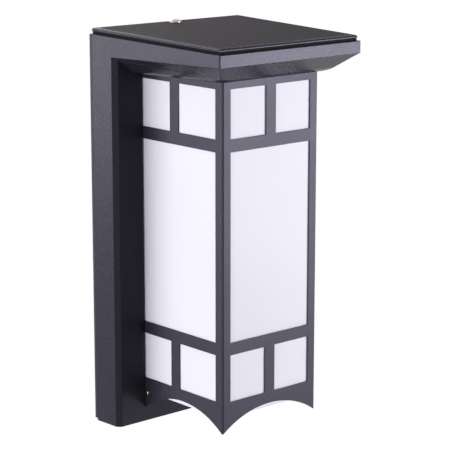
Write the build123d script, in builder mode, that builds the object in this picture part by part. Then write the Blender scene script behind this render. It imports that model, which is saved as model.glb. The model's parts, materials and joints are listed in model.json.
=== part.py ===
from build123d import *
from math import atan, cos, degrees, radians, sin, tan
import os

# Outdoor wall light. Sizes are in millimetres and angles in degrees.
# The origin is the middle of the back, on the wall. +X is to the right of someone who faces the light,
# +Z is up, and the light stands out from the wall along -Y. A depth is a distance from the wall.

# Housing: back box and canopy
housing_width = 160.0
housing_height = 321.8
box_depth = 30.5
canopy_depth = 151.0
wall = 2.2
side_draft = 2.15
roof_fall = 1.69
soffit_rise = 1.19
fascia_height = 9.9
fascia_corner_radius = 1.2
cavity_corner_radius = 0.4
fascia_lip = 0.6
soffit_run = 18.9
soffit_drop = 14.4
soffit_radius = 18.0
box_corner_radius = 4.0
foot_clearance = 12.6
canopy_overhang = 23.8

# Lid, its seal and its screw
lid_reveal = 2.1
lid_thickness = 2.6
lid_lip = 3.0
lid_lip_thickness = 1.8
lid_lip_play = 0.5
lid_edge_radius = 2.0
lid_wall_gap = 0.8
lid_gasket_height = 2.0
lid_gasket_width = 3.0
lid_gasket_setback = 0.5
ledge_width = 6.0
ledge_thickness = 2.5
bridge_depth = 20.0
lid_screw_depth = 11.0
lid_screw_radius = 2.5
lid_screw_length = 15.5
lid_screw_head_radius = 5.2
lid_screw_head_height = 2.2
lid_boss_width = 9.0
lid_boss_height = 9.0
thread_clearance = 0.08
lid_hole_clearance = 0.3

# Lantern frame
frame_sheet = 1.0
frame_bend_radius = 1.8
frame_gap = 0.4
stile = 8.5
rear_stile = 6.0
mullion = 10.4
rail = 10.0
top_rail = 5.7
upper_window = 38.9
lower_window = 38.3
side_window = 44.1
arch_rail = 9.4
arch_rise = 15.8
arch_tip = 1.0
frame_flange = 9.0
frame_screw_inset = 16.0

# Opal panes and what holds them
pane_thickness = 2.0
pane_foot = 12.5
pane_play = 0.1
corner_angle_leg = 9.0
corner_angle_sheet = 1.0
base_clip_width = 6.0
base_clip_leg = 6.0
base_clip_sheet = 0.8

# LED tray and boards
landing_thickness = 3.0
landing_width = 12.0
opening_lip = 0.8
tray_sheet = 1.0
tray_depth = 5.8
tray_seat_gap = 0.3
tray_tab_length = 10.0
board_width = 14.0
board_end_gap = 20.0
board_thickness = 1.6
board_spacing = 44.0
chip_end_gap = 20.0
chip_width = 2.8
chip_length = 3.5
chip_thickness = 0.8
chips_per_board = 12

# Driver in the canopy
driver_length = 84.0
driver_width = 40.0
driver_height = 16.0
driver_chamfer = 1.0
driver_ear = 8.0
driver_ear_width = 14.0
driver_ear_thickness = 2.0
driver_depth = 82.0
driver_boss_width = 8.0
driver_boss_height = 5.0

# Wall plate, seal and supply parts
gasket_thickness = 1.5
plate_thickness = 1.5
plate_inset = 0.1
plate_rim = 1.5
plate_foot_inset = 2.0
gasket_play = 0.3
wall_hole_spacing_x = 100.0
wall_hole_spacing_z = 220.0
wall_hole_radius = 2.75
gasket_hole_margin = 1.5
plate_flange_width = 100.0
plate_hook_width = 20.0
plate_hook_depth = 15.0
plate_hook_offset = 45.0
hook_gap = 0.3
housing_screw_offset = 35.0
housing_screw_depth = 12.0
cable_height = 60.0
grommet_bore_radius = 4.0
grommet_hole_radius = 8.0
grommet_lip = 3.0
grommet_lip_thickness = 1.4
terminal_drop = 52.0
terminal_length = 28.0
terminal_width = 17.0
terminal_thickness = 12.0
terminal_poles = 2
terminal_entry = 4.0
terminal_chamfer = 1.0
ground_drop = 26.0
lead_radius = 1.2
lead_bend = 5.0
lead_entry = 5.0
supply_lead_level = 4.0
output_lead_level = 8.5
output_lead_inset = 13.0
lead_hole_margin = 0.4
lead_sides = 6

# Small fasteners: heads are bevelled, and a cross recess is a share of the head's radius and height
head_bevel = 0.5
recess_length = 1.1
recess_width = 0.22
recess_depth = 0.5
shank_sides = 8
m3_radius = 1.5
m3_head_radius = 2.8
m3_head_height = 1.8
m4_radius = 2.0
m4_head_radius = 4.0
m4_head_height = 2.4
screw_play = 0.1
side_screw_radius = 1.25
side_screw_head_radius = 1.9
side_screw_head_height = 1.1
side_screw_reach = 2.5
side_screw_drop = 0.4
lug_width = 5.0
lug_height = 10.0
lug_reach = 7.0

# Derived places
rear_depth = gasket_thickness + plate_thickness
soffit_angle = degrees(atan(soffit_drop / soffit_run))
foot = -housing_height / 2


def half_width(depth):
    """Half the housing's outer width at a depth, which its draft narrows towards the front."""
    return housing_width / 2 - depth * tan(radians(side_draft))


def roof_height(depth):
    """Height of the fascia's top edge at a depth."""
    return housing_height / 2 - depth * tan(radians(roof_fall))


def fascia_low(depth):
    """Height of the fascia's lower edge at a depth."""
    front_low = roof_height(canopy_depth) - fascia_height
    return front_low - (canopy_depth - depth) * tan(radians(soffit_rise))


def plane_through(height, tilt):
    """Plane through a height at the wall, tilted about X so that a positive tilt falls to the front."""
    return Plane((0, 0, height), x_dir=(1, 0, 0), z_dir=(0, -sin(radians(tilt)), cos(radians(tilt))))


def on_plane(across, depth, tilt, level=0.0):
    """Local point at a place across the light and a depth, on a tilted plane offset by a level."""
    return (across, (level * sin(radians(tilt)) - depth) / cos(radians(tilt)))


roof_plane = plane_through(roof_height(0), roof_fall)
fascia_plane = plane_through(fascia_low(0), -soffit_rise)
soffit_plane = fascia_plane.offset(-soffit_drop)
soffit_inside = soffit_plane.offset(wall)


def soffit_height(depth):
    """Height of the flat underside of the canopy at a depth."""
    return fascia_low(depth) - soffit_drop / cos(radians(soffit_rise))


# Lantern under the canopy: levels of its bars, and the main window takes the height between them
frame_depth = canopy_depth - canopy_overhang
half_frame = half_width(canopy_depth) - canopy_overhang
frame_width = 2 * half_frame
window_top = soffit_height(frame_depth) - top_rail
upper_low = window_top - upper_window
main_top = upper_low - rail
tip_height = foot + foot_clearance
arch_peak = tip_height + arch_rise
lower_low = arch_peak + arch_rail
lower_top = lower_low + lower_window
main_low = lower_top + rail
pane_low = lower_low - pane_foot

# Depths of the tray and of the frame's rear edge inside the box
landing_face = box_depth - wall - landing_thickness
tray_floor = landing_face - tray_depth
frame_rear = tray_floor + tray_seat_gap
opening_half = half_frame + frame_gap
opening_low = pane_low - frame_gap
opening_top = soffit_height(box_depth) - opening_lip
pane_face = frame_sheet + pane_play
pane_front = frame_depth - frame_bend_radius - pane_play
pane_top = min(opening_top, soffit_height(box_depth) - frame_sheet) - frame_gap

lid_rise = lid_gasket_height + lid_thickness
bridge_low = -ledge_thickness
os.makedirs("parts", exist_ok=True)


def save(builder, name):
    """Label a finished piece and write it as its own node."""
    builder.part.label = name
    export_step(builder.part, f"parts/{name}.step")


def outline(inset, front, rear, tilt, level=0.0):
    """Corners of a trapezium that follows the drafted sides, on a tilted plane offset by a level."""
    return [
        on_plane(half_width(rear) - inset, rear, tilt, level),
        on_plane(half_width(front) - inset, front, tilt, level),
        on_plane(inset - half_width(front), front, tilt, level),
        on_plane(inset - half_width(rear), rear, tilt, level),
    ]


def plan(inset, rear, front):
    """Corners of the drafted housing's outline seen from above."""
    return [
        (half_width(rear) - inset, -rear),
        (half_width(front) - inset, -front),
        (inset - half_width(front), -front),
        (inset - half_width(rear), -rear),
    ]


def pan_head(head_radius, head_height):
    """Round head with a bevelled rim, which sits on Z = 0."""
    with BuildPart() as head:
        with BuildSketch():
            Circle(head_radius)
        extrude(amount=head_height)
        chamfer(head.edges().sort_by(Axis.Z)[-1], head_bevel * head_height)
    return head.part


def pan_screw(radius, length, head_radius, head_height):
    """Pan-head screw along Z: its head sits on Z = 0 and its shank points down."""
    with BuildPart() as turned:
        add(pan_head(head_radius, head_height))
        with BuildSketch():
            RegularPolygon(radius, shank_sides)
        extrude(amount=-length)
    return turned.part


def lid_pan_screw(radius, length, head_radius, head_height):
    """Pan-head screw with a cross recess and a round shank, which turns in the lid."""
    with BuildPart() as turned:
        add(pan_head(head_radius, head_height))
        with BuildSketch():
            Circle(radius)
        extrude(amount=-length)
        with BuildSketch(Plane.XY.offset(head_height)):
            Rectangle(recess_length * head_radius, recess_width * head_radius)
            Rectangle(recess_width * head_radius, recess_length * head_radius)
        extrude(amount=-recess_depth * head_height, mode=Mode.SUBTRACT)
    return turned.part


def hex_screw(radius, length, head_radius, head_height):
    """Plain hexagon-head screw along Z, for the fasteners inside the light."""
    with BuildPart() as turned:
        with BuildSketch():
            RegularPolygon(head_radius, 6)
        extrude(amount=head_height)
        with BuildSketch():
            RegularPolygon(radius, shank_sides)
        extrude(amount=-length)
    return turned.part


def screw_set(name, places, form, *sizes):
    """Write a group of like screws, one at each place, as one node."""
    with BuildPart() as group:
        with Locations(*places):
            add(form(*sizes))
    save(group, name)


def canopy_block(inset, low_plane, high_plane, corner_radius, rear):
    """Drafted block between a lower and an upper sloping plane."""
    with BuildPart() as block:
        with BuildSketch(Plane.XY):
            Polygon(*plan(inset, rear, canopy_depth - inset), align=None)
        extrude(amount=housing_height)
        split(bisect_by=low_plane, keep=Keep.TOP)
        split(bisect_by=high_plane, keep=Keep.BOTTOM)
        fillet(block.edges().filter_by(Axis.Z).group_by(Axis.Y)[0], corner_radius)
    return block.part


def bowl_top(thickness):
    """Inset and level, from the fascia's lower edge, where the soffit's slope meets the fascia."""
    inset = thickness if thickness else fascia_lip
    low_inset = fascia_lip + soffit_run + thickness * tan(radians(soffit_angle / 2))
    return inset, thickness - soffit_drop + (low_inset - inset) * tan(radians(soffit_angle))


def soffit_bowl(thickness):
    """Sloping sides and flat bottom of the canopy's underside, or its inside for a wall's thickness."""
    inset, level = bowl_top(thickness)
    top_plane = fascia_plane.offset(level)
    corners = [
        top_plane.from_local_coords(Vector(*point))
        for point in outline(inset, canopy_depth - inset, 0, -soffit_rise, level)
    ]
    with BuildPart() as bowl:
        with BuildSketch(top_plane):
            Polygon(*outline(inset, canopy_depth - inset, 0, -soffit_rise, level), align=None)
        extrude(amount=thickness - soffit_drop - level)
        for start, end in zip(corners, corners[1:]):
            edge = (end - start).normalized()
            outward = top_plane.z_dir.cross(edge).normalized()
            lean = radians(soffit_angle)
            normal = outward * sin(lean) - top_plane.z_dir * cos(lean)
            split(bisect_by=Plane(start, x_dir=edge, z_dir=normal), keep=Keep.BOTTOM)
        flat = bowl.faces().sort_by(Axis.Z)[0]
        fillet(flat.edges().sort_by(Axis.Y)[:-1], soffit_radius - thickness)
    return bowl.part


def back_box(inset, rear, top):
    """Drafted box from the wall to its front, with rounded front corners."""
    with BuildPart() as box:
        with BuildSketch(Plane.XY.offset(foot + inset)):
            Polygon(*plan(inset, rear, box_depth - inset), align=None)
        extrude(amount=top - foot - inset)
        fillet(box.edges().filter_by(Axis.Z).group_by(Axis.Y)[0], box_corner_radius - inset)
    return box.part


# Places of the fasteners that hold the housing's pieces
side_screw_depth = box_depth + side_screw_reach
side_screw_height = pane_low - side_screw_drop
flange_line = half_frame - frame_flange / 2 - frame_sheet / 2
frame_screw_points = [
    on_plane(side * flange_line, depth, -soffit_rise, -soffit_drop)
    for side in (-1, 1)
    for depth in (box_depth + frame_screw_inset, frame_depth - frame_screw_inset)
]
driver_ear_line = driver_length / 2 + driver_ear / 2
driver_middle = on_plane(0, driver_depth, -soffit_rise, -soffit_drop)
driver_screw_points = [(side * driver_ear_line, driver_middle[1]) for side in (-1, 1)]
tray_screw_line = opening_half + landing_width / 2
tray_screw_points = [
    (side * tray_screw_line, height) for side in (-1, 1) for height in (main_low, main_top)
]
lid_screw_point = on_plane(0, lid_screw_depth, roof_fall)
housing_screw_points = [(side * housing_screw_offset, -housing_screw_depth) for side in (-1, 1)]
inside_top = fascia_low(box_depth) + wall

cavity_floor = fascia_plane.offset(bowl_top(wall)[1])
canopy_outside = canopy_block(0, fascia_plane, roof_plane, fascia_corner_radius, rear_depth)
cavity_top = roof_plane.offset(wall)
canopy_inside = canopy_block(wall, cavity_floor, cavity_top, cavity_corner_radius, rear_depth - wall)
box_inside = back_box(wall, rear_depth - wall, inside_top)
box_outside = back_box(0, rear_depth, inside_top)
ledge_inset = wall + ledge_width
ledge_rear = rear_depth + bridge_depth

# Housing: one shell, open at the back and under the lid
with BuildPart() as housing:
    add(canopy_outside)
    add(soffit_bowl(0))
    add(box_outside)
    add(canopy_inside, mode=Mode.SUBTRACT)
    add(soffit_bowl(wall), mode=Mode.SUBTRACT)
    add(box_inside, mode=Mode.SUBTRACT)
    # Ledge round the top that the lid's seal lies on, bridged across the back to take the lid's screw
    with BuildSketch(roof_plane):
        Polygon(*outline(wall / 2, canopy_depth - wall / 2, rear_depth, roof_fall), align=None)
        Polygon(
            *outline(ledge_inset, canopy_depth - ledge_inset, ledge_rear, roof_fall),
            align=None,
            mode=Mode.SUBTRACT,
        )
    extrude(amount=-ledge_thickness)
    with BuildSketch(roof_plane):
        with Locations(lid_screw_point):
            Rectangle(lid_boss_width, lid_boss_width)
    extrude(amount=-ledge_thickness - lid_boss_height)
    with BuildSketch(roof_plane):
        with Locations(lid_screw_point):
            Circle(lid_screw_radius + thread_clearance)
    extrude(amount=-ledge_thickness - lid_boss_height, mode=Mode.SUBTRACT)
    # Thicker landing round the opening, which the LED tray screws to
    with BuildSketch(Plane.XZ.offset(landing_face)):
        with Locations((0, (opening_low - landing_width + opening_top) / 2)):
            Rectangle(2 * (opening_half + landing_width), opening_top - opening_low + landing_width)
    extrude(amount=landing_thickness)
    # Opening that the lantern's sides pass through
    with BuildSketch(Plane.XZ.offset(landing_face)):
        with Locations((0, (opening_low + opening_top) / 2)):
            Rectangle(2 * opening_half, opening_top - opening_low)
    extrude(amount=landing_thickness + wall, mode=Mode.SUBTRACT)
    with BuildSketch(Plane.XZ.offset(landing_face)):
        with Locations(*tray_screw_points):
            Circle(m3_radius + screw_play)
    extrude(amount=landing_thickness + wall / 2, mode=Mode.SUBTRACT)
    # Lugs in front of the box that the lantern's side screws go into
    for side in (-1, 1):
        lug_middle = side * (half_frame - frame_sheet - lug_width / 2)
        with BuildSketch(Plane.XZ.offset(box_depth)):
            with Locations((lug_middle, side_screw_height)):
                Rectangle(lug_width, lug_height)
        extrude(amount=lug_reach)
    with BuildSketch(Plane.YZ.offset(-half_frame)):
        with Locations((-side_screw_depth, side_screw_height)):
            Circle(side_screw_radius + screw_play)
    extrude(amount=2 * half_frame, mode=Mode.SUBTRACT)
    # Soffit holes for the lantern's top screws, and bosses for the driver
    with BuildSketch(soffit_plane):
        with Locations(*frame_screw_points):
            Circle(m3_radius + 2 * screw_play)
    extrude(amount=wall, mode=Mode.SUBTRACT)
    with BuildSketch(soffit_inside):
        with Locations(*driver_screw_points):
            Rectangle(driver_boss_width, driver_boss_width)
    extrude(amount=driver_boss_height)
    with BuildSketch(soffit_inside.offset(driver_boss_height)):
        with Locations(*driver_screw_points):
            Circle(m3_radius + screw_play)
    extrude(amount=-driver_boss_height - wall / 2, mode=Mode.SUBTRACT)
    # Holes in the foot for the screws into the wall plate
    with BuildSketch(Plane.XY.offset(foot)):
        with Locations(*housing_screw_points):
            Circle(m4_radius + 2 * screw_play)
    extrude(amount=wall, mode=Mode.SUBTRACT)
    # The back is trimmed flat where it meets the wall plate
    split(bisect_by=Plane.XZ.offset(rear_depth), keep=Keep.TOP)
save(housing, "housing")

# Lid: plate with a rounded rim, a lip that drops into the ledge, and a boss for its screw
lid_front = canopy_depth - lid_reveal
roof_normal = Axis(roof_plane.origin, roof_plane.z_dir)
lid_under = roof_plane.offset(lid_gasket_height)
lip_outer = ledge_inset + lid_lip_play
lip_inner = lip_outer + lid_lip_thickness
with BuildPart() as top_lid:
    with BuildSketch(lid_under):
        Polygon(*outline(lid_reveal, lid_front, lid_wall_gap, roof_fall, lid_gasket_height), align=None)
    extrude(amount=lid_thickness)
    fillet(top_lid.faces().sort_by(roof_normal)[-1].edges(), lid_edge_radius)
    with BuildSketch(lid_under):
        for inset, mode in ((lip_outer, Mode.ADD), (lip_inner, Mode.SUBTRACT)):
            rear = ledge_rear + inset - ledge_inset
            corners = outline(inset, canopy_depth - inset, rear, roof_fall, lid_gasket_height)
            Polygon(*corners, align=None, mode=mode)
        with Locations(lid_screw_point):
            Rectangle(lid_boss_width, lid_boss_width)
    extrude(amount=-lid_gasket_height)
    with BuildSketch(roof_plane):
        for inset, mode in ((lip_outer, Mode.ADD), (lip_inner, Mode.SUBTRACT)):
            rear = ledge_rear + inset - ledge_inset
            Polygon(*outline(inset, canopy_depth - inset, rear, roof_fall), align=None, mode=mode)
    extrude(amount=-lid_lip)
    with BuildSketch(roof_plane):
        with Locations(lid_screw_point):
            Circle(lid_screw_radius + lid_hole_clearance)
    extrude(amount=lid_rise, mode=Mode.SUBTRACT)
save(top_lid, "top_lid")

# Seal between the lid and the ledge, which shows as a dark line under the rim
gasket_outer = lid_reveal + lid_gasket_setback
with BuildPart() as lid_gasket:
    with BuildSketch(roof_plane):
        for inset, mode in ((gasket_outer, Mode.ADD), (gasket_outer + lid_gasket_width, Mode.SUBTRACT)):
            rear = lid_wall_gap + inset - lid_reveal
            Polygon(*outline(inset, canopy_depth - inset, rear, roof_fall), align=None, mode=mode)
    extrude(amount=lid_gasket_height)
save(lid_gasket, "lid_gasket")

lid_top = roof_plane.offset(lid_rise)
lid_screw_place = lid_top.location * Location((lid_screw_point[0], lid_screw_point[1], 0))
screw_set(
    "lid_screw",
    [lid_screw_place],
    lid_pan_screw,
    lid_screw_radius,
    lid_screw_length,
    lid_screw_head_radius,
    lid_screw_head_height,
)


# Level pairs of the lantern's three rows of windows, from the top down
window_rows = ((window_top, upper_low), (main_top, main_low), (lower_top, lower_low))
front_face = Plane.XZ.offset(frame_depth)
side_face = Plane.YZ.offset(half_frame)
mullion_rear = frame_depth - stile - side_window - mullion

# Lantern frame: one folded sheet with cut windows, arched lower edges and a top flange
with BuildPart() as lantern_frame:
    with BuildSketch(Plane.XY.offset(tip_height)):
        with BuildLine():
            FilletPolyline(
                (-half_frame, -frame_rear),
                (-half_frame, -frame_depth),
                (half_frame, -frame_depth),
                (half_frame, -frame_rear),
                radius=frame_bend_radius,
            )
            offset(amount=frame_sheet, side=Side.LEFT)
        make_face()
    extrude(amount=soffit_height(frame_depth) - tip_height + wall)
    split(bisect_by=soffit_plane, keep=Keep.BOTTOM)
    # The part inside the box is only as high as the opening
    cut_spans = ((tip_height, opening_low + frame_gap), (opening_top - frame_gap, housing_height / 2))
    for low, high in cut_spans:
        with BuildSketch(Plane.XZ.offset(frame_rear)):
            with Locations((0, (low + high) / 2)):
                Rectangle(frame_width, high - low)
        extrude(amount=box_depth - frame_rear, mode=Mode.SUBTRACT)
    # Windows in the front
    for index, (high, low) in enumerate(window_rows):
        panes_across = 1 if index == 1 else 2
        clear = (frame_width - 2 * stile - (panes_across - 1) * mullion) / panes_across
        with BuildSketch(front_face):
            with Locations((0, (high + low) / 2)):
                with GridLocations(clear + mullion, 1, panes_across, 1):
                    Rectangle(clear, high - low)
        extrude(amount=-2 * frame_sheet, mode=Mode.SUBTRACT)
    # Windows in both sides
    rear_edge = frame_rear + rear_stile
    front_edge = frame_depth - stile
    for index, (high, low) in enumerate(window_rows):
        if index == 1:
            spans = [(rear_edge, front_edge)]
        else:
            spans = [(rear_edge, mullion_rear), (mullion_rear + mullion, front_edge)]
        for near_wall, far in spans:
            with BuildSketch(side_face):
                with Locations((-(near_wall + far) / 2, (high + low) / 2)):
                    Rectangle(far - near_wall, high - low)
            extrude(amount=-frame_width, mode=Mode.SUBTRACT)
    # Arched lower edges
    front_end = half_frame - arch_tip
    arch_cuts = (
        (front_face, -front_end, front_end, frame_bend_radius + frame_sheet),
        (side_face, arch_tip - frame_depth, -(box_depth + arch_tip), frame_width),
    )
    for face, start, end, through in arch_cuts:
        with BuildSketch(face):
            with BuildLine():
                ThreePointArc((start, tip_height), ((start + end) / 2, arch_peak), (end, tip_height))
                Line((end, tip_height), (start, tip_height))
            make_face()
        extrude(amount=-through, mode=Mode.SUBTRACT)
    # Flange under the soffit
    with BuildSketch(soffit_plane):
        rear_point, front_point, inner_front = [
            on_plane(0, depth, -soffit_rise, -soffit_drop)[1]
            for depth in (
                box_depth + frame_gap,
                frame_depth - frame_bend_radius,
                frame_depth - frame_sheet - frame_flange,
            )
        ]
        with Locations((0, (rear_point + front_point) / 2)):
            Rectangle(frame_width - frame_sheet, rear_point - front_point)
        with Locations((0, (rear_point + inner_front) / 2)):
            Rectangle(
                frame_width - 2 * (frame_sheet + frame_flange),
                rear_point - inner_front,
                mode=Mode.SUBTRACT,
            )
        with Locations(*frame_screw_points):
            Circle(m3_radius + screw_play, mode=Mode.SUBTRACT)
    extrude(amount=-frame_sheet)
    # Holes for the side screws
    with BuildSketch(side_face):
        with Locations((-side_screw_depth, side_screw_height)):
            Circle(side_screw_radius + screw_play)
    extrude(amount=-frame_width, mode=Mode.SUBTRACT)
save(lantern_frame, "lantern_frame")

frame_screw_places = [soffit_inside.location * Location((x, y, 0)) for x, y in frame_screw_points]
screw_set(
    "frame_top_screws",
    frame_screw_places,
    hex_screw,
    m3_radius,
    wall + 2 * frame_sheet,
    m3_head_radius,
    m3_head_height,
)
side_screw_places = [
    Plane((side * half_frame, -side_screw_depth, side_screw_height), z_dir=(side, 0, 0)).location
    for side in (-1, 1)
]
screw_set(
    "frame_side_screws",
    side_screw_places,
    pan_screw,
    side_screw_radius,
    frame_sheet + lug_width,
    side_screw_head_radius,
    side_screw_head_height,
)

# Opal panes: the side panes reach into the box, and the front pane stands between them
lug_clear = lug_reach + frame_gap
for side, name in ((-1, "diffuser_left"), (1, "diffuser_right")):
    face = half_frame - pane_face
    with BuildPart() as side_pane:
        with BuildSketch(Plane.YZ.offset(side * face)):
            with BuildLine():
                Polyline(
                    (-(box_depth + lug_clear), pane_low),
                    (-pane_front, pane_low),
                    (-pane_front, pane_top),
                    (-frame_rear, pane_top),
                    (-frame_rear, side_screw_height + lug_height / 2 + frame_gap),
                    (-(box_depth + lug_clear), side_screw_height + lug_height / 2 + frame_gap),
                    close=True,
                )
            make_face()
        extrude(amount=-side * pane_thickness)
    save(side_pane, name)

pane_inside = half_frame - pane_face - pane_thickness
front_pane_width = 2 * (pane_inside - pane_play)
with BuildPart() as diffuser_front:
    with BuildSketch(Plane.XZ.offset(frame_depth - pane_face)):
        with Locations((0, (pane_low + pane_top) / 2)):
            Rectangle(front_pane_width, pane_top - pane_low)
    extrude(amount=-pane_thickness)
save(diffuser_front, "diffuser_front")

front_pane_back = frame_depth - pane_face - pane_thickness
base_rear = box_depth + frame_gap
with BuildPart() as diffuser_base:
    with BuildSketch(Plane.XY.offset(pane_low)):
        with Locations((0, -(base_rear + front_pane_back) / 2)):
            Rectangle(front_pane_width, front_pane_back - base_rear)
        with Locations(*[(side * front_pane_width / 2, -base_rear) for side in (-1, 1)]):
            Rectangle(2 * (lug_width + frame_gap), 2 * lug_clear, mode=Mode.SUBTRACT)
    extrude(amount=pane_thickness)
save(diffuser_base, "diffuser_base")

# Angles in the front corners, which hold the panes against the frame
angle_low = pane_low + pane_thickness
angle_top = soffit_height(front_pane_back - corner_angle_leg) - frame_sheet - pane_play
with BuildPart() as corner_angles:
    for side in (-1, 1):
        corner = side * (pane_inside - pane_play)
        with BuildSketch(Plane.XY.offset(angle_low)):
            with BuildLine():
                Polyline(
                    (corner, -front_pane_back),
                    (corner - side * corner_angle_leg, -front_pane_back),
                    (corner - side * corner_angle_leg, corner_angle_sheet - front_pane_back),
                    (corner - side * corner_angle_sheet, corner_angle_sheet - front_pane_back),
                    (corner - side * corner_angle_sheet, corner_angle_leg - front_pane_back),
                    (corner, corner_angle_leg - front_pane_back),
                    close=True,
                )
            make_face()
        extrude(amount=angle_top - angle_low)
save(corner_angles, "corner_angles")

# Clips on the inside of the frame that carry the base pane
clip_line = half_frame - frame_bend_radius - base_clip_width
with BuildPart() as base_clips:
    for side in (-1, 1):
        with BuildSketch(Plane.YZ.offset(side * clip_line)):
            with BuildLine():
                Polyline(
                    (frame_sheet - frame_depth, pane_low),
                    (frame_sheet - frame_depth, pane_low - base_clip_leg),
                    (frame_sheet + base_clip_sheet - frame_depth, pane_low - base_clip_leg),
                    (frame_sheet + base_clip_sheet - frame_depth, pane_low - base_clip_sheet),
                    (frame_sheet + 2 * base_clip_leg - frame_depth, pane_low - base_clip_sheet),
                    (frame_sheet + 2 * base_clip_leg - frame_depth, pane_low),
                    close=True,
                )
            make_face()
        extrude(amount=base_clip_width / 2, both=True)
save(base_clips, "base_clips")

# LED tray: shallow white pan that closes the opening from behind
tray_half = opening_half + tray_sheet
board_middle = (opening_low + opening_top) / 2
board_length = opening_top - opening_low - 2 * board_end_gap
board_top = board_middle + board_length / 2
lead_height = board_top - output_lead_inset
lead_points = [(side * board_spacing / 2, lead_height) for side in (-1, 1)]
lead_hole = 2 * (lead_radius + lead_hole_margin)
with BuildPart() as led_tray:
    with BuildSketch(Plane.XZ.offset(tray_floor - tray_sheet)):
        with Locations((0, (opening_low + opening_top) / 2)):
            Rectangle(2 * tray_half, opening_top - opening_low + 2 * tray_sheet)
    extrude(amount=tray_depth + tray_sheet)
    with BuildSketch(Plane.XZ.offset(landing_face)):
        with Locations((0, opening_top + tray_sheet / 2)):
            Rectangle(2 * tray_half, tray_sheet)
    extrude(amount=landing_thickness)
    with BuildSketch(Plane.XZ.offset(landing_face)):
        with Locations((0, (opening_low - landing_width + opening_top) / 2)):
            Rectangle(2 * (opening_half + landing_width), opening_top - opening_low + landing_width)
        with Locations(*tray_screw_points):
            Circle(m3_radius + screw_play, mode=Mode.SUBTRACT)
    extrude(amount=-tray_sheet)
    with BuildSketch(Plane.XZ.offset(tray_floor)):
        with Locations((0, (opening_low + opening_top) / 2)):
            Rectangle(2 * opening_half, opening_top - opening_low)
    extrude(amount=tray_depth + landing_thickness, mode=Mode.SUBTRACT)
    # Tabs that hold the rear edges of the side panes
    tab_face = pane_inside - pane_play - tray_sheet / 2
    with BuildSketch(Plane.XZ.offset(tray_floor)):
        for height in (main_low, (main_low + main_top) / 2, main_top):
            with Locations(*[(side * tab_face, height) for side in (-1, 1)]):
                Rectangle(tray_sheet, tray_tab_length)
    extrude(amount=tray_depth)
    with BuildSketch(Plane.XZ.offset(tray_floor)):
        with Locations(*lead_points):
            Rectangle(lead_hole, lead_hole)
    extrude(amount=-tray_sheet, mode=Mode.SUBTRACT)
save(led_tray, "led_tray")


def facing_wall(points, depth):
    """Places whose screws point from the room side of a depth towards the front of the light."""
    return [Plane((x, -depth, z), x_dir=(1, 0, 0), z_dir=(0, 1, 0)).location for x, z in points]


def facing_room(points, depth):
    """Places whose screw heads face the front of the light at a depth."""
    return [Plane((x, -depth, z), x_dir=(1, 0, 0), z_dir=(0, -1, 0)).location for x, z in points]


screw_set(
    "led_tray_screws",
    facing_wall(tray_screw_points, landing_face - tray_sheet),
    hex_screw,
    m3_radius,
    tray_sheet + landing_thickness,
    m3_head_radius,
    m3_head_height,
)

# LED boards, bonded to the tray, and their chips
chip_pitch = (board_length - 2 * chip_end_gap) / (chips_per_board - 1)
for side, name in ((-1, "led_board_left"), (1, "led_board_right")):
    with BuildPart() as led_board:
        with BuildSketch(Plane.XZ.offset(tray_floor)):
            with Locations((side * board_spacing / 2, board_middle)):
                Rectangle(board_width, board_length)
        extrude(amount=board_thickness)
    save(led_board, name)

with BuildPart() as led_chips:
    with BuildSketch(Plane.XZ.offset(tray_floor + board_thickness)):
        with Locations((0, board_middle)):
            with GridLocations(board_spacing, chip_pitch, 2, chips_per_board):
                Rectangle(chip_length, chip_width)
    extrude(amount=chip_thickness)
save(led_chips, "led_chips")

# Driver on the soffit, with ears on two bosses
with BuildPart() as led_driver:
    with BuildSketch(soffit_inside):
        with Locations(driver_middle):
            Rectangle(driver_length, driver_width)
    extrude(amount=driver_height)
    chamfer(led_driver.faces().sort_by(Axis.Z)[-1].edges(), driver_chamfer)
    with BuildSketch(soffit_inside.offset(driver_boss_height)):
        with Locations(driver_middle):
            Rectangle(driver_length + 2 * driver_ear, driver_ear_width)
    extrude(amount=driver_ear_thickness)
    with BuildSketch(soffit_inside.offset(driver_boss_height)):
        with Locations(*driver_screw_points):
            Circle(m3_radius + screw_play)
    extrude(amount=driver_ear_thickness, mode=Mode.SUBTRACT)
save(led_driver, "led_driver")

ear_top = soffit_inside.offset(driver_boss_height + driver_ear_thickness)
screw_set(
    "driver_screws",
    [ear_top.location * Location((x, y, 0)) for x, y in driver_screw_points],
    hex_screw,
    m3_radius,
    driver_ear_thickness + driver_boss_height,
    m3_head_radius,
    m3_head_height,
)

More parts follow.
